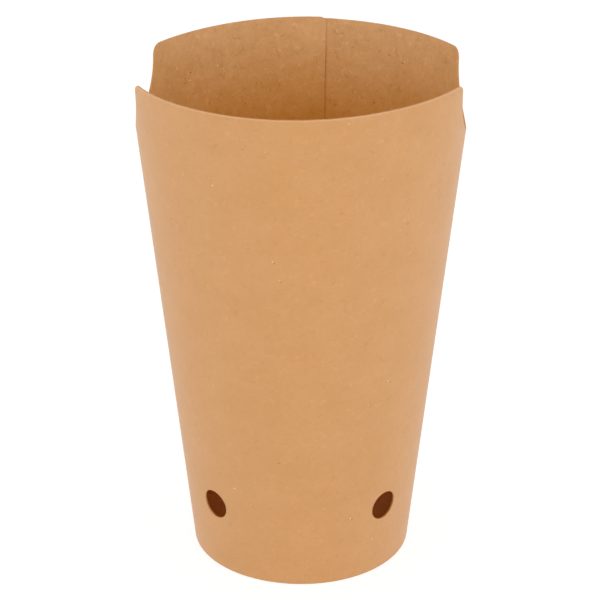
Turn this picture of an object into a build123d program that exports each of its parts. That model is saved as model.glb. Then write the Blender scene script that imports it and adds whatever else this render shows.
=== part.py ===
import math
import os

from build123d import *

# Driving dimensions, in millimetres and degrees. The cup stands on Z = 0 with its axis on Z.
# The lid flaps face -Y and +Y, the notches between them face -X and +X,
# and the ends of the rolled blank lap over each other in the middle of the +Y side.
cup_height = 137.4
base_diameter = 60.0  # outside of the wall, carried down to the table
mouth_diameter = 88.7  # outside of the wall at the rim
wall_board = 0.4
lap_angle = 12.6  # turn over which the blank's two ends overlap
lap_climb_angle = 6.0  # turn in which the outer end climbs over the edge of the inner one
notch_radius = 17.2
notch_depth = 16.5
flap_corner_radius = 3.5
vent_diameter = 8.3
vent_height = 20.7
vent_count = 4
first_vent_angle = 46.5  # counted from +X
lap_foot_height = 2.0  # the lap's outer layer is trimmed this far above the table
hem_height = 8.0  # reach of the wall's turned-in lower edge
fold_radius = 0.4  # outside corners of the folded foot
disc_board = 0.35
disc_lift = 1.65  # the disc's underside clears the hem by this much
disc_corner_radius = 0.8  # outside of the disc's turned-down edge
glue_gap = 0.05  # glue line on each side of the disc's edge

# Directions around the axis, counted from +X
back_angle = 90
inner_end_angle = back_angle - lap_angle / 2
climb_start_angle = inner_end_angle - lap_climb_angle

# Depths below the outside of the wall, square to the board
wall_slope = (mouth_diameter - base_diameter) / 2 / cup_height
lap_root = wall_board / 2  # the lap's layers are let this far into the wall
disc_edge_outside = wall_board + glue_gap
disc_edge_inside = disc_edge_outside + disc_board
hem_outside = disc_edge_inside + glue_gap
hem_inside = hem_outside + wall_board

# Heights of the bottom disc and of the end of its turned-down edge
disc_underside = hem_height + disc_lift
disc_top = disc_underside + disc_board
disc_edge_end = wall_board + glue_gap


def cone_radius(height, depth):
    return base_diameter / 2 + wall_slope * height - depth * math.hypot(1, wall_slope)


def plan_point(radius, angle):
    return Vector(radius, 0).rotate(Axis.Z, angle)


def radial_plane(angle):
    return Plane((0, 0, 0), x_dir=plan_point(1, angle), z_dir=plan_point(1, angle - 90))


os.makedirs("parts", exist_ok=True)

# One fan-shaped blank of board: cone, hem, glued lap, lid flaps and vents
with BuildPart() as cup_wall:
    # Cone, folded foot and hem, with a slot in the foot for the edge of the bottom disc
    with BuildSketch(Plane.XZ) as wall_section:
        with BuildLine():
            Polyline(
                (cone_radius(0, 0), 0),
                (cone_radius(cup_height, 0), cup_height),
                (cone_radius(cup_height, wall_board), cup_height),
                (cone_radius(wall_board, wall_board), wall_board),
                (cone_radius(wall_board, hem_outside), wall_board),
                (cone_radius(hem_height, hem_outside), hem_height),
                (cone_radius(hem_height, hem_inside), hem_height),
                (cone_radius(0, hem_inside), 0),
                close=True,
            )
        make_face()
        fillet(wall_section.vertices().group_by(Axis.Y)[0], radius=fold_radius)
    revolve(axis=Axis.Z)

    # Outer end of the blank, glued down over the inner end
    with BuildSketch(radial_plane(inner_end_angle)):
        with BuildLine():
            Polyline(
                (cone_radius(lap_foot_height, lap_root), lap_foot_height),
                (cone_radius(cup_height, lap_root), cup_height),
                (cone_radius(cup_height, -wall_board), cup_height),
                (cone_radius(lap_foot_height, -wall_board), lap_foot_height),
                close=True,
            )
        make_face()
    revolve(axis=Axis.Z, revolution_arc=lap_angle)

    # Where the outer end climbs over the edge of the inner one: a rise outside, a hollow behind it
    for depth, mode in ((0, Mode.ADD), (wall_board, Mode.SUBTRACT)):
        for height in (lap_foot_height, cup_height):
            with BuildSketch(Plane.XY.offset(height)):
                with BuildLine():
                    Polyline(
                        plan_point(cone_radius(height, depth), climb_start_angle),
                        plan_point(cone_radius(height, depth - wall_board), inner_end_angle),
                        plan_point(cone_radius(height, depth + lap_root), inner_end_angle),
                        plan_point(cone_radius(height, depth + lap_root), climb_start_angle),
                        close=True,
                    )
                make_face()
        loft(ruled=True, mode=mode)

    # Half-round notch on each side, rounded into the rim at the corners of the lid flaps
    with BuildSketch(Plane.YZ) as notch_section:
        with Locations((0, cup_height + notch_radius - notch_depth)):
            Circle(notch_radius)
        with Locations((0, cup_height)):
            Rectangle(mouth_diameter, 2 * notch_radius, align=(Align.CENTER, Align.MIN))
        flap_corners = notch_section.vertices().group_by(Axis.Y)[0].sort_by(Axis.X)[1:3]
        fillet(flap_corners, radius=flap_corner_radius)
    extrude(amount=mouth_diameter, both=True, mode=Mode.SUBTRACT)

    # Vents, punched square to the board
    for vent in range(vent_count):
        vent_angle = first_vent_angle + vent * 360 / vent_count
        vent_centre = plan_point(cone_radius(vent_height, wall_board / 2), vent_angle)
        vent_axis = Vector(1, 0, -wall_slope).rotate(Axis.Z, vent_angle)
        with BuildSketch(Plane(vent_centre + Vector(0, 0, vent_height), z_dir=vent_axis)):
            Circle(vent_diameter / 2)
    extrude(amount=vent_diameter / 2, both=True, mode=Mode.SUBTRACT)

cup_wall.part.label = "cup_wall"
export_step(cup_wall.part, "parts/cup_wall.step")

# Pressed disc of board, its edge turned down into the slot of the wall's foot
with BuildPart() as bottom_disc:
    with BuildSketch(Plane.XZ) as disc_section:
        with BuildLine():
            Polyline(
                (0, disc_top),
                (cone_radius(disc_top, disc_edge_outside), disc_top),
                (cone_radius(disc_edge_end, disc_edge_outside), disc_edge_end),
                (cone_radius(disc_edge_end, disc_edge_inside), disc_edge_end),
                (cone_radius(disc_underside, disc_edge_inside), disc_underside),
                (0, disc_underside),
                close=True,
            )
        make_face()
        inner_corner = disc_section.vertices().group_by(Axis.Y)[1].sort_by(Axis.X)[-1]
        fillet(inner_corner, radius=disc_corner_radius - disc_board)
        outer_corner = disc_section.vertices().group_by(Axis.Y)[-1].sort_by(Axis.X)[-1]
        fillet(outer_corner, radius=disc_corner_radius)
    revolve(axis=Axis.Z)

bottom_disc.part.label = "bottom_disc"
export_step(bottom_disc.part, "parts/bottom_disc.step")
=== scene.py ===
import math

import bmesh
import bpy
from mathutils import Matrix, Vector
from mathutils.geometry import delaunay_2d_cdt
from mathutils.kdtree import KDTree


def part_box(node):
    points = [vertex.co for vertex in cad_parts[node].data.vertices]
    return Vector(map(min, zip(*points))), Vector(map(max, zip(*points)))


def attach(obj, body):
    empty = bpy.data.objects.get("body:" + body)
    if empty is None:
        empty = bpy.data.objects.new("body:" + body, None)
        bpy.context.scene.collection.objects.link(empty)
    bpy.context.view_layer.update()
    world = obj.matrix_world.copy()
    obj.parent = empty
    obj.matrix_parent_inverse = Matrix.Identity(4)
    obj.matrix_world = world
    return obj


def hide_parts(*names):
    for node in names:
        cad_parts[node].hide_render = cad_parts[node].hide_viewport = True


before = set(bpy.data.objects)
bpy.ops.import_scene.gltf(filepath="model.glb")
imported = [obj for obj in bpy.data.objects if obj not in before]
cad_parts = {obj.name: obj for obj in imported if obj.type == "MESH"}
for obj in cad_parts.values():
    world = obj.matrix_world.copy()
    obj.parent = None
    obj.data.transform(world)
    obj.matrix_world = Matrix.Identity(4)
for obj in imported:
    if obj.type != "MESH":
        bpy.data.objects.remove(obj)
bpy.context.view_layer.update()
scene = bpy.context.scene
mm = 0.001
slack = 1e-6  # for comparing lengths and turns that were worked out
wallLow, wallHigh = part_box("cup_wall")
discLow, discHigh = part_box("bottom_disc")
cupHeight = wallHigh.z
print("frame loaded:", ", ".join(sorted(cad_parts)))


# Small helpers for node trees

def plug(tree, socket, value):
    if isinstance(value, bpy.types.NodeSocket):
        tree.links.new(value, socket)
    else:
        socket.default_value = value


def addNode(tree, kind, inputs=None, **settings):
    node = tree.nodes.new(kind)
    for name, value in settings.items():
        setattr(node, name, value)
    for key, value in (inputs or {}).items():
        plug(tree, node.inputs[key], value)
    return node


def calc(tree, operation, *values):
    return addNode(tree, "ShaderNodeMath", dict(enumerate(values)), operation=operation).outputs[0]


def vectorCalc(tree, operation, *values):
    node = addNode(tree, "ShaderNodeVectorMath", dict(enumerate(values)), operation=operation)
    return node.outputs["Vector"]


def scaled(tree, vector, factor):
    node = addNode(tree, "ShaderNodeVectorMath", {0: vector, "Scale": factor}, operation="SCALE")
    return node.outputs["Vector"]


def easeBetween(tree, value, low, high):
    inputs = {"Value": value, "From Min": low, "From Max": high}
    return addNode(tree, "ShaderNodeMapRange", inputs, interpolation_type="SMOOTHSTEP").outputs["Result"]


def hypotenuse(tree, a, b):
    return calc(tree, "SQRT", calc(tree, "ADD", calc(tree, "POWER", a, 2), calc(tree, "POWER", b, 2)))


def mixColors(tree, factor, first, second):
    inputs = {"Factor": factor, 6: first, 7: second}  # 6 and 7 are the node's two colours
    return addNode(tree, "ShaderNodeMix", inputs, data_type="RGBA").outputs[2]


def splitVector(tree, vector):
    return addNode(tree, "ShaderNodeSeparateXYZ", {0: vector}).outputs


def joinVector(tree, x, y, z):
    return addNode(tree, "ShaderNodeCombineXYZ", {0: x, 1: y, 2: z}).outputs[0]


def newTree(name, kind, inputs, outputs):
    tree = bpy.data.node_groups.new(name, kind)
    for side, sockets in (("INPUT", inputs), ("OUTPUT", outputs)):
        for label, socketType in sockets:
            tree.interface.new_socket(label, in_out=side, socket_type="NodeSocket" + socketType)
    return tree, tree.nodes.new("NodeGroupInput").outputs, tree.nodes.new("NodeGroupOutput").inputs


# Kraft board finish: short strands scattered one to a cell, then the whole board from them

def strandGroup():
    tree, given, result = newTree(
        "boardStrands", "ShaderNodeTree",
        [("Place", "Vector")] + [(label, "Float") for label in ("Cell", "Length", "Width", "Share")],
        [("Mask", "Float")])
    perCell = calc(tree, "DIVIDE", 1, given["Cell"])
    cells = addNode(tree, "ShaderNodeTexVoronoi", {"Vector": given["Place"], "Scale": perCell},
                    voronoi_dimensions="2D")
    chance = addNode(tree, "ShaderNodeSeparateColor", {0: cells.outputs["Color"]}).outputs
    fromMiddle = vectorCalc(tree, "SUBTRACT", given["Place"], cells.outputs["Position"])
    angle = calc(tree, "MULTIPLY", chance[0], math.pi)
    turned = addNode(tree, "ShaderNodeVectorRotate", {"Vector": fromMiddle, "Angle": angle},
                     rotation_type="Z_AXIS").outputs[0]
    along = splitVector(tree, turned)
    bow = calc(tree, "MULTIPLY", calc(tree, "POWER", along[0], 2), calc(tree, "SUBTRACT", chance[2], 0.5))
    lengthShare = calc(tree, "ADD", chance[0], 0.5)  # from half to one and a half times Length
    reach = calc(tree, "DIVIDE", along[0], calc(tree, "MULTIPLY", given["Length"], lengthShare))
    offLine = calc(tree, "DIVIDE", calc(tree, "ADD", along[1], bow), given["Width"])
    body = easeBetween(tree, hypotenuse(tree, reach, offLine), 1, 0.35)  # soft towards its edge
    kept = calc(tree, "LESS_THAN", chance[1], given["Share"])
    strength = calc(tree, "MULTIPLY_ADD", calc(tree, "POWER", chance[2], 2), 0.8, 0.2)  # most are faint
    plug(tree, result["Mask"], calc(tree, "MULTIPLY", calc(tree, "MULTIPLY", body, kept), strength))
    return tree


boardPattern = {
    "noise": {  # mm across, mm up, detail, roughness
        "cloud": (14, 10, 2, 0.6),
        "tint": (5, 4, 3, 0.8),
        "mottle": (3.6, 3.6, 3, 0.95),
        "grain": (1.6, 0.35, 2, 0.6),
        "fibreLine": (3.4, 3.4, 1, 0.6),
        "fibreGap": (2.3, 2.3, 1, 0.6),
    },
    "fibreWidth": 0.04,  # fibres run where their noise is this near to its middle
    "fibreFade": 0.16,  # and end softly where the other noise falls from here to its middle
    "fibreShift": {"pale": 210, "dark": 320},  # mm
    "gapShift": 37,
    "marks": {  # mm: shift of the cells, cell, length and width of a mark
        "paleStrand": (47, 4.4, 1.0, 0.22),
        "darkStrand": (131, 4.8, 0.9, 0.22),
        "fleck": (11, 6.0, 0.42, 0.22),
        "speck": (83, 5.0, 0.32, 0.24),
        "glint": (83.4, 5.0, 0.24, 0.19),  # pale, beside some specks
    },
    "strandShare": 0.5,  # of the cells
    "glintShare": 0.5,  # of the specks
    "strandWeight": 1.8,  # a strand beside a fibre
    "warmth": (0.6, 0, -1.6),  # how a warm spot leaves the tone
    "roughSwing": 0.25,
    "heights": {"mottle": 0.6, "grain": 0.4, "strand": 0.25, "fleck": 0.3},
}


def boardGroup(strands):
    amounts = ("Cloud", "Tint", "Mottle", "Grain", "Strand", "Fleck", "Fleck Share", "Speck", "Speck Share")
    tree, given, result = newTree(
        "kraftBoard", "ShaderNodeTree",
        [("Place", "Vector"), ("Tone", "Color"), ("Fleck Tone", "Color"), ("Speck Tone", "Color")]
        + [(label, "Float") for label in (*amounts, "Lift", "Roughness")],
        [("Color", "Color"), ("Roughness", "Float"), ("Height", "Float")])

    def noise(layer, shift=0):
        across, up, detail, roughness = boardPattern["noise"][layer]
        moved = vectorCalc(tree, "ADD", given["Place"], (shift, shift, 0))
        stretched = vectorCalc(tree, "DIVIDE", moved, (across, up, 1))
        inputs = {"Vector": stretched, "Scale": 1.0, "Detail": detail, "Roughness": roughness}
        node = addNode(tree, "ShaderNodeTexNoise", inputs, noise_dimensions="2D")
        return calc(tree, "SUBTRACT", node.outputs[0], 0.5)  # its middle is 0

    def scatter(mark, share):
        shift, cell, length, width = boardPattern["marks"][mark]
        inputs = {"Place": vectorCalc(tree, "ADD", given["Place"], (shift, -shift, 0)), "Cell": cell,
                  "Length": length, "Width": width, "Share": share}
        return addNode(tree, "ShaderNodeGroup", inputs, node_tree=strands).outputs["Mask"]

    def fibresAndStrands(side):
        shift = boardPattern["fibreShift"][side]
        offLine = calc(tree, "ABSOLUTE", noise("fibreLine", shift))
        line = easeBetween(tree, offLine, boardPattern["fibreWidth"], 0)
        gaps = noise("fibreGap", shift + boardPattern["gapShift"])
        fibres = calc(tree, "MULTIPLY", line, easeBetween(tree, gaps, 0, boardPattern["fibreFade"]))
        loose = scatter(side + "Strand", boardPattern["strandShare"])
        return calc(tree, "MULTIPLY_ADD", loose, boardPattern["strandWeight"], fibres)

    layers = {label: noise(label) for label in ("cloud", "tint", "mottle", "grain")}
    layers["strand"] = calc(tree, "SUBTRACT", fibresAndStrands("pale"), fibresAndStrands("dark"))
    layers["fleck"] = scatter("fleck", given["Fleck Share"])
    speck = scatter("speck", given["Speck Share"])
    glint = scatter("glint", calc(tree, "MULTIPLY", given["Speck Share"], boardPattern["glintShare"]))

    shade = 1
    for label in ("Cloud", "Mottle", "Grain", "Strand"):
        shade = calc(tree, "MULTIPLY_ADD", layers[label.lower()], given[label], shade)
    lifted = scaled(tree, vectorCalc(tree, "ADD", given["Tone"], given["Lift"]), shade)
    color = vectorCalc(tree, "SUBTRACT", lifted, given["Lift"])  # paler is also greyer
    warmer = vectorCalc(tree, "MULTIPLY", given["Tone"], boardPattern["warmth"])
    tint = calc(tree, "MULTIPLY", layers["tint"], given["Tint"])
    color = vectorCalc(tree, "MULTIPLY_ADD", warmer, tint, color)
    palePart = calc(tree, "MULTIPLY", calc(tree, "MAXIMUM", layers["fleck"], glint), given["Fleck"])
    darkPart = calc(tree, "MULTIPLY", speck, given["Speck"])
    color = mixColors(tree, palePart, color, given["Fleck Tone"])
    color = mixColors(tree, darkPart, color, given["Speck Tone"])
    roughness = calc(tree, "MULTIPLY_ADD", layers["mottle"], boardPattern["roughSwing"], given["Roughness"])
    height = 0
    for label, weight in boardPattern["heights"].items():
        height = calc(tree, "MULTIPLY_ADD", layers[label], weight, height)
    for label, value in (("Color", color), ("Roughness", roughness), ("Height", height)):
        plug(tree, result[label], value)
    return tree


boardLook = {
    "fleckTone": (0.960, 0.700, 0.420, 1),
    "speckTone": (0.270, 0.092, 0.009, 1),
    "bumpDepth": 0.02,  # mm
    "sideShift": (170, 90, 0),  # mm, so that the two faces of a board differ
    "finishes": {  # the rim tone is painted light, paler where light falls near the rim; it goes over to tone within the reach in mm below the rim
        "outerFace": {
            # painted highlight: a paler line on the outer face, 0.6 mm deep below the rim
            "tone": (0.614, 0.295, 0.093, 1), "paintedLightRimTone": (0.720, 0.360, 0.140, 1), "paintedLightReach": 0.6,
            "roughness": 0.50, "gloss": 0.82, "sheen": 0.10, "lift": 0.69,
            "amounts": {"Cloud": 0.04, "Tint": 0.08, "Mottle": 0.045, "Grain": 0.02, "Strand": 0.022,
                        "Fleck": 1.0, "Fleck Share": 0.03, "Speck": 0.9, "Speck Share": 0.10},
        },
        "innerFace": {
            # painted light and shade: paler and greyer near the mouth where light falls in, deeper orange
            # down to 47 mm below the rim where light has bounced between the walls
            "tone": (0.757, 0.312, 0.014, 1), "paintedLightRimTone": (0.644, 0.351, 0.143, 1), "paintedLightReach": 47.0,
            "roughness": 0.50, "gloss": 0.30, "sheen": 0.0, "lift": 0.52,
            "amounts": {"Cloud": 0.08, "Tint": 0.08, "Mottle": 0.130, "Grain": 0.02, "Strand": 0.055,
                        "Fleck": 1.0, "Fleck Share": 0.24, "Speck": 1.0, "Speck Share": 0.22},
        },
        "cutEdge": {
            # painted highlight: the cut edge is paler within 1 mm of the rim, where its top faces the light
            "tone": (0.600, 0.280, 0.085, 1), "paintedLightRimTone": (0.660, 0.360, 0.170, 1), "paintedLightReach": 1.0,
            "roughness": 0.85, "gloss": 0.3, "sheen": 0.0, "lift": 0.3,
            "amounts": {"Cloud": 0.05, "Tint": 0.05, "Mottle": 0.30, "Grain": 0.15, "Strand": 0.1,
                        "Fleck": 0.2, "Fleck Share": 0.4, "Speck": 0.2, "Speck Share": 0.4},
        },
    },
}


def boardMaterial(name, group, finish):
    material = bpy.data.materials.new(name)
    material.use_nodes = True
    tree = material.node_tree
    shader = tree.nodes["Principled BSDF"]
    sheet = addNode(tree, "ShaderNodeUVMap", uv_map="sheet").outputs[0]
    depth = addNode(tree, "ShaderNodeAttribute", attribute_name="depth").outputs["Fac"]
    sideShift = scaled(tree, boardLook["sideShift"], depth)
    place = vectorCalc(tree, "ADD", scaled(tree, sheet, 1 / mm), sideShift)
    upShare = addNode(tree, "ShaderNodeAttribute", attribute_name="upShare").outputs["Fac"]
    # painted light: towards the rim the tone goes over to the finish's paler rim tone
    paintedLightShare = easeBetween(tree, upShare, 1 - finish["paintedLightReach"] * mm / cupHeight, 1)
    tone = mixColors(tree, paintedLightShare, finish["tone"], finish["paintedLightRimTone"])
    inputs = {"Place": place, "Tone": tone, "Fleck Tone": boardLook["fleckTone"],
              "Speck Tone": boardLook["speckTone"], "Lift": finish["lift"],
              "Roughness": finish["roughness"], **finish["amounts"]}
    board = addNode(tree, "ShaderNodeGroup", inputs, node_tree=group).outputs
    bump = addNode(tree, "ShaderNodeBump", {"Height": board["Height"], "Strength": 1.0,
                                            "Distance": boardLook["bumpDepth"] * mm})
    plug(tree, shader.inputs["Base Color"], board["Color"])
    plug(tree, shader.inputs["Roughness"], board["Roughness"])
    plug(tree, shader.inputs["Normal"], bump.outputs[0])
    shader.inputs["Specular IOR Level"].default_value = finish["gloss"]
    shader.inputs["Sheen Weight"].default_value = finish["sheen"]
    return material


kraftBoard = boardGroup(strandGroup())
finishes = {name: boardMaterial(name, kraftBoard, finish) for name, finish in boardLook["finishes"].items()}
print("board finish ready")


# A flat blank of board is given its thickness, bent along a profile and turned round the axis

pressPlan = {
    "foldSegments": 12,
    "crispAngle": 40,  # degrees, an edge steeper than this stays sharp
    "mergeDistance": 1e-7,  # m
    "waveCounts": (1, 2, 3),  # waves round the rim, in height and in radius
}


def pressTree():
    waves = [f"{kind} {count}{part}" for kind in ("Rise", "Lean") for count in pressPlan["waveCounts"]
             for part in ("", " Peak")]
    tree, given, result = newTree(
        "pressedBoard", "GeometryNodeTree",
        [("Blank", "Geometry"), ("Profile", "Object"), ("Outer Face", "Material"),
         ("Inner Face", "Material"), ("Cut Edge", "Material")]
        + [(label, "Float") for label in (
            "Board", "Fold Radius", "Profile Start", "Turn Gain", "Height", "Lap Lift", "Climb Start",
            "Climb End", "Lap Foot", "Lap Full", "End Press", "Press Start", "Press End", "Press Low",
            "Press High", "Slip", "Sink", *waves)],
        [("Piece", "Geometry")])

    def store(geometry, name, value, dataType="FLOAT", domain="POINT"):
        inputs = {"Geometry": geometry, "Name": name, "Value": value}
        return addNode(tree, "GeometryNodeStoreNamedAttribute", inputs,
                       data_type=dataType, domain=domain).outputs[0]

    # thickness, still flat
    flat = addNode(tree, "GeometryNodeInputPosition").outputs[0]
    marked = store(given["Blank"], "sheet", flat, "FLOAT2", "CORNER")
    turnedOver = addNode(tree, "GeometryNodeFlipFaces", {0: marked}).outputs[0]
    thick = addNode(tree, "GeometryNodeExtrudeMesh",
                    {"Mesh": turnedOver, "Offset": (0, 0, -1), "Offset Scale": given["Board"],
                     "Individual": False}, mode="FACES")
    both = addNode(tree, "GeometryNodeJoinGeometry")
    tree.links.new(marked, both.inputs[0])
    tree.links.new(thick.outputs["Mesh"], both.inputs[0])
    closed = addNode(tree, "GeometryNodeMergeByDistance",
                     {"Geometry": both.outputs[0], "Distance": pressPlan["mergeDistance"]}).outputs[0]
    flatX, flatY, flatZ = splitVector(tree, flat)
    share = calc(tree, "DIVIDE", calc(tree, "MULTIPLY", flatZ, -1), given["Board"])
    plied = store(closed, "depth", share)

    # where a point of the blank lies on the profile, and how far round
    along = calc(tree, "SUBTRACT", hypotenuse(tree, flatX, flatY), given["Profile Start"])
    turn = calc(tree, "MULTIPLY", calc(tree, "ARCTAN2", flatX, flatY), given["Turn Gain"])
    drawn = addNode(tree, "GeometryNodeObjectInfo", {"Object": given["Profile"]}).outputs["Geometry"]
    folds = {"Curve": drawn, "Count": pressPlan["foldSegments"], "Radius": given["Fold Radius"]}
    folded = addNode(tree, "GeometryNodeFilletCurve", folds, mode="POLY").outputs[0]
    sample = addNode(tree, "GeometryNodeSampleCurve", {"Curves": folded, "Length": along},
                     mode="LENGTH").outputs
    profileX, _, profileZ = splitVector(tree, sample["Position"])
    runX, _, runZ = splitVector(tree, sample["Tangent"])

    # the lap's outer end stands off by one board, its inner end is pressed thin near the rim
    climb = easeBetween(tree, turn, given["Climb Start"], given["Climb End"])
    upWall = easeBetween(tree, along, given["Lap Foot"], given["Lap Full"])
    lift = calc(tree, "MULTIPLY", calc(tree, "MULTIPLY", climb, upWall), given["Lap Lift"])
    press = calc(tree, "MULTIPLY", easeBetween(tree, turn, given["Press Start"], given["Press End"]),
                 easeBetween(tree, along, given["Press Low"], given["Press High"]))
    pressed = calc(tree, "SUBTRACT", 1, calc(tree, "MULTIPLY", press, given["End Press"]))
    off = calc(tree, "MULTIPLY_ADD", flatZ, pressed, lift)
    radius = calc(tree, "MULTIPLY_ADD", runZ, off, profileX)
    height = calc(tree, "SUBTRACT", profileZ, calc(tree, "MULTIPLY", runX, off))

    # the mouth is a little uneven and out of round
    def wave(label, count):
        fromPeak = calc(tree, "SUBTRACT", turn, given[label + " Peak"])
        swing = calc(tree, "COSINE", calc(tree, "MULTIPLY", fromPeak, count))
        return calc(tree, "MULTIPLY", swing, given[label])

    upShare = calc(tree, "DIVIDE", height, given["Height"])
    ranked = store(plied, "upShare", upShare)
    roundShare = calc(tree, "DIVIDE", turn, -2 * math.pi)
    rise = calc(tree, "SUBTRACT", calc(tree, "MULTIPLY", given["Slip"], roundShare), given["Sink"])
    lean = 0
    for count in pressPlan["waveCounts"]:
        rise = calc(tree, "ADD", rise, wave(f"Rise {count}", count))
        lean = calc(tree, "ADD", lean, wave(f"Lean {count}", count))
    radius = calc(tree, "MULTIPLY_ADD", lean, calc(tree, "POWER", upShare, 2), radius)
    height = calc(tree, "MULTIPLY_ADD", rise, upShare, height)
    across = calc(tree, "MULTIPLY", radius, calc(tree, "SINE", turn))
    toFront = calc(tree, "MULTIPLY", radius, calc(tree, "COSINE", turn))
    placed = joinVector(tree, across, calc(tree, "MULTIPLY", toFront, -1), height)
    bent = addNode(tree, "GeometryNodeSetPosition", {"Geometry": ranked, "Position": placed}).outputs[0]

    # round faces, crisp cut edges
    smooth = addNode(tree, "GeometryNodeSetShadeSmooth", {"Geometry": bent, "Shade Smooth": True},
                     domain="FACE").outputs[0]
    edgeAngle = addNode(tree, "GeometryNodeInputMeshEdgeAngle").outputs[0]
    steep = calc(tree, "GREATER_THAN", edgeAngle, math.radians(pressPlan["crispAngle"]))
    crisp = addNode(tree, "GeometryNodeSetShadeSmooth",
                    {"Geometry": smooth, "Selection": steep, "Shade Smooth": False},
                    domain="EDGE").outputs[0]
    real = addNode(tree, "GeometryNodeRealizeInstances", {0: crisp}).outputs[0]
    sides = {"Outer Face": True, "Inner Face": thick.outputs["Top"], "Cut Edge": thick.outputs["Side"]}
    for label, faces in sides.items():
        inputs = {"Geometry": real, "Selection": faces, "Material": given[label]}
        real = addNode(tree, "GeometryNodeSetMaterial", inputs).outputs[0]
    plug(tree, result["Piece"], real)
    return tree


pressedBoard = pressTree()


def profileLine(name, points):
    curve = bpy.data.curves.new(name, "CURVE")
    curve.dimensions = "3D"
    spline = curve.splines.new("POLY")
    spline.points.add(len(points) - 1)
    for point, (radius, height) in zip(spline.points, points):
        point.co = (radius, 0, height, 1)
    line = bpy.data.objects.new(name, curve)
    scene.collection.objects.link(line)
    return line


def profileLength(points, foldRadius):
    corners = [Vector(point) for point in points]
    total = sum((b - a).length for a, b in zip(corners, corners[1:]))
    for a, b, c in zip(corners, corners[1:], corners[2:]):
        fold = (b - a).angle(c - b)
        total -= foldRadius * (2 * math.tan(fold / 2) - fold)
    return total


def pressPiece(name, blank, profile, sizes, node):
    line = profileLine(name + "Profile", profile)
    piece = bpy.data.objects.new(name, blank)
    scene.collection.objects.link(piece)
    press = piece.modifiers.new("press", "NODES")
    press.node_group = pressedBoard
    wanted = {"Profile": line, "Outer Face": finishes["outerFace"], "Inner Face": finishes["innerFace"],
              "Cut Edge": finishes["cutEdge"], **sizes}
    for item in pressedBoard.interface.items_tree:
        if item.in_out == "INPUT" and item.name in wanted:
            press[item.identifier] = wanted[item.name]
    graph = bpy.context.evaluated_depsgraph_get()
    shaped = piece.evaluated_get(graph)
    mesh = bpy.data.meshes.new_from_object(shaped, preserve_all_data_layers=True, depsgraph=graph)
    piece.modifiers.clear()
    piece.data = mesh
    bpy.data.meshes.remove(blank)
    bpy.data.objects.remove(line)
    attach(piece, "root")
    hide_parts(node)
    print(name, "pressed:", len(mesh.polygons), "faces")


def steps(stops, longest):
    marks = [stops[0]]
    for low, high in zip(stops, stops[1:]):
        count = max(1, math.ceil(abs(high - low) / longest - slack))
        marks += [low + (high - low) * (i + 1) / count for i in range(count)]
    return marks


# Cup wall: a fan-shaped blank with a notch on each side, vents and a hem

wallPlan = {  # mm, or degrees where a name ends in Turn
    "baseRadius": 30.0,
    "board": 0.4,
    "discBoard": 0.35,
    "glueGap": 0.05,
    "lapTurn": 12.6,
    "climbTurn": 6.0,
    "lapFoot": 2.0,
    "lapClear": 0.02,
    "endCorner": 1.7,
    "endPress": 0.8,  # share of the inner end's thickness that the press takes away at the rim
    "pressTurn": 4.0,
    "pressReach": 14.0,
    "hemHeight": 8.0,
    "foldRadius": 0.5,
    "notchRadius": 17.2,
    "notchDepth": 16.5,
    "flapCorner": 3.5,
    "ventSize": 8.3,
    "ventHeight": 20.7,
    "ventCount": 4,
    "firstVentTurn": 46.5,  # from the front
    "slip": 0.4,  # one end of the rim over the other
    "sink": 0.11,
    "rise": {1: (0.71, 39), 2: (0.31, 50), 3: (0.36, 60)},  # waves round the rim: size, degrees of a peak
    "lean": {1: (0.48, 64), 2: (0.20, 130), 3: (0.39, 37)},
    "columnTurn": 1.5,  # how fine the blank is divided, from here on
    "rowStep": 2.5,
    "foldStep": 0.1,
    "edgeStep": 0.8,
    "edgeClear": 0.44,
    "cornerStep": 0.42,
    "ventStep": 0.56,
}
rimRadius = -wallLow.y
baseRadius = wallPlan["baseRadius"] * mm
wallBoard = wallPlan["board"] * mm
ventRadius = wallPlan["ventSize"] / 2 * mm
wallSlope = (rimRadius - baseRadius) / cupHeight
slantGain = math.hypot(1, wallSlope)
turnGain = slantGain / wallSlope
rimSlant = rimRadius * turnGain  # distances on the blank are counted from the cone's tip
discEdgeDepth = wallBoard + (wallPlan["glueGap"] + wallPlan["discBoard"]) * mm
hemDepth = discEdgeDepth + wallPlan["glueGap"] * mm + wallBoard
endTurn = math.pi + math.radians(wallPlan["lapTurn"]) / 2  # the blank goes this far round each way
innerTurn = 2 * math.pi - endTurn  # the outer end lies over the inner one from here on
climbTurn = innerTurn - math.radians(wallPlan["climbTurn"])


def coneRadius(height, depth=0):
    return baseRadius + wallSlope * height - depth * slantGain


def slantAt(height):
    return rimSlant - (cupHeight - height) * slantGain


def onBlank(turn, slant):
    return Vector((math.sin(turn / turnGain), math.cos(turn / turnGain))) * slant


foldEnd = slantAt(2 * wallPlan["foldRadius"] * mm)
lapFoot = slantAt(wallPlan["lapFoot"] * mm)


def mirrored(line):
    return [(-turn, slant) for turn, slant in reversed(line)]


def notchLine():
    radius = wallPlan["notchRadius"] * mm
    corner = wallPlan["flapCorner"] * mm
    middle = cupHeight + radius - wallPlan["notchDepth"] * mm
    away = math.sqrt((radius + corner) ** 2 - (middle - cupHeight + corner) ** 2)
    meet = math.atan2(cupHeight - corner - middle, away)
    rounded = [(away + corner * math.cos(a), cupHeight - corner + corner * math.sin(a))
               for a in steps([math.pi / 2, math.pi + meet], wallPlan["cornerStep"] * mm / corner)]
    hollow = [(radius * math.cos(a), middle + radius * math.sin(a))
              for a in steps([meet, -math.pi - meet], wallPlan["edgeStep"] * mm / radius)]
    line = rounded[:-1] + hollow + [(-y, z) for y, z in reversed(rounded[:-1])]
    return [(math.pi / 2 + math.asin(y / coneRadius(z)), slantAt(z)) for y, z in line]


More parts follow.
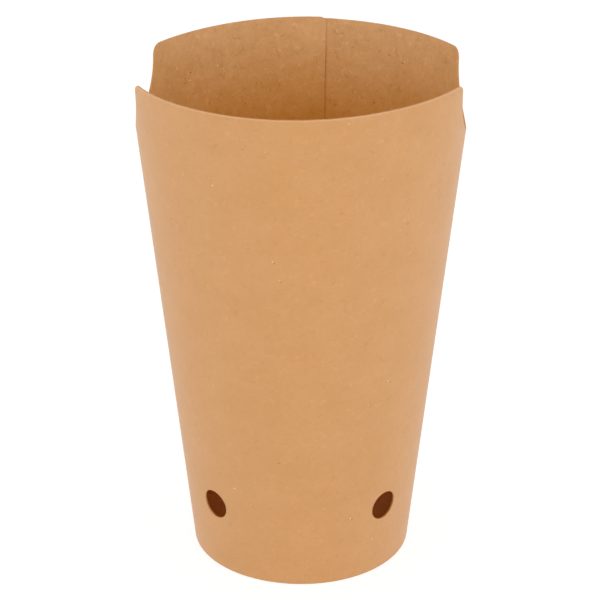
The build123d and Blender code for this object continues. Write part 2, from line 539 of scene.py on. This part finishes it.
def endCornerLine():
    corner = wallPlan["endCorner"] * mm
    turnPerLength = turnGain / rimSlant
    return [(endTurn - corner * (1 - math.cos(a)) * turnPerLength, rimSlant - corner * (1 - math.sin(a)))
            for a in steps([0, math.pi / 2], wallPlan["cornerStep"] * mm / corner)]


def wallRows(profileStart):
    hemEnd = profileStart + (wallPlan["hemHeight"] - 2 * wallPlan["foldRadius"]) * mm
    rows = steps([profileStart, hemEnd], wallPlan["rowStep"] * mm)
    rows += steps([hemEnd, foldEnd], wallPlan["foldStep"] * mm)[1:]
    rows += steps([foldEnd, lapFoot], wallPlan["edgeStep"] * mm)[1:]
    rows += steps([lapFoot, rimSlant], wallPlan["rowStep"] * mm)[1:]
    return rows


def wallOutline(columns, rows):
    hemEdge = rows[0]
    straightEnd = rimSlant - 1.5 * wallPlan["endCorner"] * mm  # the last row below a rounded corner
    gap = math.radians(wallPlan["columnTurn"]) / 2
    rounding = endCornerLine()
    notch = notchLine()
    flapEnds = (notch[0][0], notch[-1][0])

    def rim(high, low):
        return [(turn, rimSlant) for turn in reversed(columns) if low + gap < turn < high - gap]

    outline = [(turn, hemEdge) for turn in columns if turn <= innerTurn + slack]
    outline += [(innerTurn, slant) for slant in rows if hemEdge < slant < lapFoot - slack]
    outline += [(turn, lapFoot) for turn in columns if turn >= innerTurn - slack]
    outline += [(endTurn, slant) for slant in rows if lapFoot + slack < slant < straightEnd]
    outline += rounding + rim(rounding[-1][0], flapEnds[0]) + notch
    outline += rim(flapEnds[1], -flapEnds[1]) + mirrored(notch)
    outline += rim(-flapEnds[0], -rounding[-1][0]) + mirrored(rounding)
    outline += [(-endTurn, slant) for slant in reversed(rows) if hemEdge < slant < straightEnd]
    return outline


def fillSheet(loops, columns, rows):
    points, edges = [], []
    for loop in loops:
        first = len(points)
        points += loop
        edges += [(first + i, first + (i + 1) % len(loop)) for i in range(len(loop))]
    nearEdge = KDTree(len(points))
    for i, point in enumerate(points):
        nearEdge.insert((*point, 0), i)
    nearEdge.balance()
    for slant in rows:
        for turn in columns:
            point = onBlank(turn, slant)
            if nearEdge.find((*point, 0))[2] > wallPlan["edgeClear"] * mm:
                points.append(point)
    spots, _, faces, *_ = delaunay_2d_cdt(points, edges, [], 1, 1e-8)  # 1 keeps what is inside the outline
    return spots, faces


def wallBlank(profileStart):
    columns = steps([-endTurn, -innerTurn, 0, climbTurn, innerTurn, endTurn],
                    math.radians(wallPlan["columnTurn"]))
    rows = wallRows(profileStart)
    loops = [[onBlank(*point) for point in wallOutline(columns, rows)]]
    ring = steps([0, 2 * math.pi], wallPlan["ventStep"] * mm / ventRadius)[:-1]
    vents = []
    for i in range(wallPlan["ventCount"]):
        turn = math.radians(wallPlan["firstVentTurn"] + i * 360 / wallPlan["ventCount"])
        vent = onBlank(math.remainder(turn, 2 * math.pi), slantAt(wallPlan["ventHeight"] * mm))
        loops.append([vent + Vector((math.cos(a), math.sin(a))) * ventRadius for a in ring])
        vents.append(vent)

    spots, faces = fillSheet(loops, columns, rows)
    blank = bmesh.new()
    corners = [blank.verts.new((*spot, 0)) for spot in spots]
    for face in faces:
        middle = sum((spots[i] for i in face), Vector((0, 0))) / len(face)
        if all((middle - vent).length > ventRadius for vent in vents):
            blank.faces.new([corners[i] for i in face])
    bmesh.ops.delete(blank, geom=[v for v in blank.verts if not v.link_faces], context="VERTS")
    bmesh.ops.join_triangles(blank, faces=blank.faces, angle_face_threshold=0.1, angle_shape_threshold=0.5)
    bmesh.ops.recalc_face_normals(blank, faces=blank.faces)
    if sum(face.normal.z for face in blank.faces) < 0:
        bmesh.ops.reverse_faces(blank, faces=blank.faces)
    mesh = bpy.data.meshes.new("wallBlank")
    blank.to_mesh(mesh)
    blank.free()
    print("wall blank cut:", len(mesh.polygons), "faces")
    return mesh


def makeWall():
    profile = [
        (coneRadius(wallPlan["hemHeight"] * mm, hemDepth), wallPlan["hemHeight"] * mm),
        (coneRadius(0, hemDepth), 0),
        (coneRadius(0), 0),
        (coneRadius(cupHeight), cupHeight),
    ]
    length = profileLength(profile, wallPlan["foldRadius"] * mm)
    profileStart = rimSlant - length
    sizes = {
        "Board": wallBoard,
        "Fold Radius": wallPlan["foldRadius"] * mm,
        "Profile Start": profileStart,
        "Turn Gain": turnGain,
        "Height": cupHeight,
        "Lap Lift": wallBoard + wallPlan["lapClear"] * mm,
        "Climb Start": climbTurn,
        "Climb End": innerTurn,
        "Lap Foot": foldEnd - profileStart,
        "Lap Full": lapFoot - profileStart,
        "End Press": wallPlan["endPress"],
        "Press Start": math.radians(wallPlan["pressTurn"]) - endTurn,
        "Press End": -endTurn,
        "Press Low": length - wallPlan["pressReach"] * mm,
        "Press High": length,
        "Slip": wallPlan["slip"] * mm,
        "Sink": wallPlan["sink"] * mm,
    }
    for kind in ("rise", "lean"):
        for count, (size, peak) in wallPlan[kind].items():
            sizes[f"{kind.title()} {count}"] = size * mm
            sizes[f"{kind.title()} {count} Peak"] = math.radians(peak)
    pressPiece("cupWall", wallBlank(profileStart), profile, sizes, "cup_wall")


# Bottom disc: a round blank with its edge turned down into the foot

discPlan = {
    "bendRadius": 0.45,  # mm, inside of the turned-down edge
    "segments": 160,
    "ringStep": 1.6,
    "bendStep": 0.09,
}


def makeDisc():
    board = wallPlan["discBoard"] * mm
    bend = discPlan["bendRadius"] * mm
    under = discHigh.z - board
    profile = [
        (0, under),
        (coneRadius(under, discEdgeDepth), under),
        (coneRadius(discLow.z, discEdgeDepth), discLow.z),
    ]
    length = profileLength(profile, bend)
    flatEnd = profile[1][0] - 1.5 * bend  # fine rings from a little before the bend
    bendEnd = flatEnd + 3 * bend  # to a little after it
    rings = steps([0, flatEnd], discPlan["ringStep"] * mm)[1:]
    rings += steps([flatEnd, bendEnd], discPlan["bendStep"] * mm)[1:]
    rings += steps([bendEnd, length], discPlan["ringStep"] * mm)[1:]
    blank = bmesh.new()
    middle = blank.verts.new((0, 0, 0))
    turns = [i * 2 * math.pi / discPlan["segments"] for i in range(discPlan["segments"])]
    circles = []
    for ring in rings:
        circles.append([blank.verts.new((ring * math.sin(a), ring * math.cos(a), 0)) for a in turns])
    for i in range(len(turns)):
        j = (i + 1) % len(turns)
        blank.faces.new((middle, circles[0][j], circles[0][i]))
        for inner, outer in zip(circles, circles[1:]):
            blank.faces.new((inner[i], inner[j], outer[j], outer[i]))
    mesh = bpy.data.meshes.new("discBlank")
    blank.to_mesh(mesh)
    blank.free()
    sizes = {"Board": board, "Fold Radius": bend, "Profile Start": 0, "Turn Gain": 1, "Height": cupHeight}
    pressPiece("bottomDisc", mesh, profile, sizes, "bottom_disc")


makeWall()
makeDisc()


# Stage: pale floor, soft light from all round, camera at the photograph's height

stagePlan = {
    "floorSize": 6.0,  # m
    "floorTone": (0.32, 0.32, 0.32, 1),
    "floorGlow": 0.80,  # with the light on floorTone, white
    "floorBounce": (0.67, 0.67, 0.67, 1),  # what the floor throws back on the cup
    "skyLow": 1.50,  # the light comes in low, all round
    "skyHigh": 0.10,
    "skyFade": (0.56, 0.80),
    "lamps": {  # place and size in m, watts
        "lampLeft": ((-0.70, -0.49, 0.09), 0.5, 1.10),
        "lampRight": ((0.70, -0.49, 0.09), 0.5, 1.40),
    },
    "aim": (0, 0, 0.07),
    "sensorWidth": 36,
    "focalLength": 119.5,
    "nearest": 0.01,  # m
    "cameraAway": 490.5,  # mm from the cup's axis
    "cameraHeight": 291.8,
    "cameraTurn": 2.7,  # degrees towards +X
    "cameraPitch": 24.226,
    "cameraYaw": 0.0365,
}


def seenRays(tree):
    ray = addNode(tree, "ShaderNodeLightPath").outputs
    reflected = calc(tree, "MAXIMUM", ray["Is Glossy Ray"], ray["Is Transmission Ray"])
    return calc(tree, "MAXIMUM", ray["Is Camera Ray"], reflected)


def makeFloor():
    half = stagePlan["floorSize"] / 2
    corners = [(-half, -half, 0), (half, -half, 0), (half, half, 0), (-half, half, 0)]
    mesh = bpy.data.meshes.new("floor")
    mesh.from_pydata(corners, [], [(0, 1, 2, 3)])
    floor = bpy.data.objects.new("floor", mesh)
    scene.collection.objects.link(floor)
    material = bpy.data.materials.new("floorWhite")
    material.use_nodes = True
    tree = material.node_tree
    tree.nodes.remove(tree.nodes["Principled BSDF"])
    seen = seenRays(tree)
    tone = mixColors(tree, seen, stagePlan["floorBounce"], stagePlan["floorTone"])
    matte = addNode(tree, "ShaderNodeBsdfDiffuse", {"Color": tone}).outputs[0]
    strength = calc(tree, "MULTIPLY", seen, stagePlan["floorGlow"])
    glow = addNode(tree, "ShaderNodeEmission", {"Color": (1, 1, 1, 1), "Strength": strength}).outputs[0]
    lit = addNode(tree, "ShaderNodeAddShader", {0: matte, 1: glow}).outputs[0]
    clear = addNode(tree, "ShaderNodeBsdfTransparent").outputs[0]
    below = addNode(tree, "ShaderNodeNewGeometry").outputs["Backfacing"]
    floorMix = addNode(tree, "ShaderNodeMixShader", {0: below, 1: lit, 2: clear}).outputs[0]
    plug(tree, tree.nodes["Material Output"].inputs["Surface"], floorMix)
    mesh.materials.append(material)


def makeSky():
    world = bpy.data.worlds.new("studio")
    world.use_nodes = True
    tree = world.node_tree
    upward = splitVector(tree, addNode(tree, "ShaderNodeTexCoord").outputs["Generated"])[2]
    lowSky, highSky = stagePlan["skyLow"], stagePlan["skyHigh"]
    overhead = easeBetween(tree, upward, *stagePlan["skyFade"])
    sky = calc(tree, "MULTIPLY_ADD", overhead, highSky - lowSky, lowSky)
    strength = addNode(tree, "ShaderNodeMix", {"Factor": seenRays(tree), 2: sky, 3: 1.0}).outputs[0]
    plug(tree, tree.nodes["Background"].inputs["Strength"], strength)
    tree.nodes["Background"].inputs["Color"].default_value = (1, 1, 1, 1)
    scene.world = world


def makeLamps():
    for name, (place, size, watts) in stagePlan["lamps"].items():
        light = bpy.data.lights.new(name, "AREA")
        light.shape = "DISK"
        light.size = size
        light.energy = watts
        lamp = bpy.data.objects.new(name, light)
        lamp.location = place
        towardsCup = Vector(stagePlan["aim"]) - Vector(place)
        lamp.rotation_euler = towardsCup.to_track_quat("-Z", "Y").to_euler()
        scene.collection.objects.link(lamp)


def makeCamera():
    turn = math.radians(stagePlan["cameraTurn"])
    data = bpy.data.cameras.new("photoView")
    data.sensor_width = stagePlan["sensorWidth"]
    data.lens = stagePlan["focalLength"]
    data.clip_start = stagePlan["nearest"]
    camera = bpy.data.objects.new("photoView", data)
    away = stagePlan["cameraAway"] * mm
    camera.location = (away * math.sin(turn), -away * math.cos(turn), stagePlan["cameraHeight"] * mm)
    tilt = math.radians(90 - stagePlan["cameraPitch"])
    camera.rotation_euler = (tilt, 0, turn + math.radians(stagePlan["cameraYaw"]))
    scene.collection.objects.link(camera)
    scene.camera = camera


makeFloor()
makeSky()
makeLamps()
makeCamera()
scene.view_settings.view_transform = "Standard"
print("stage ready")
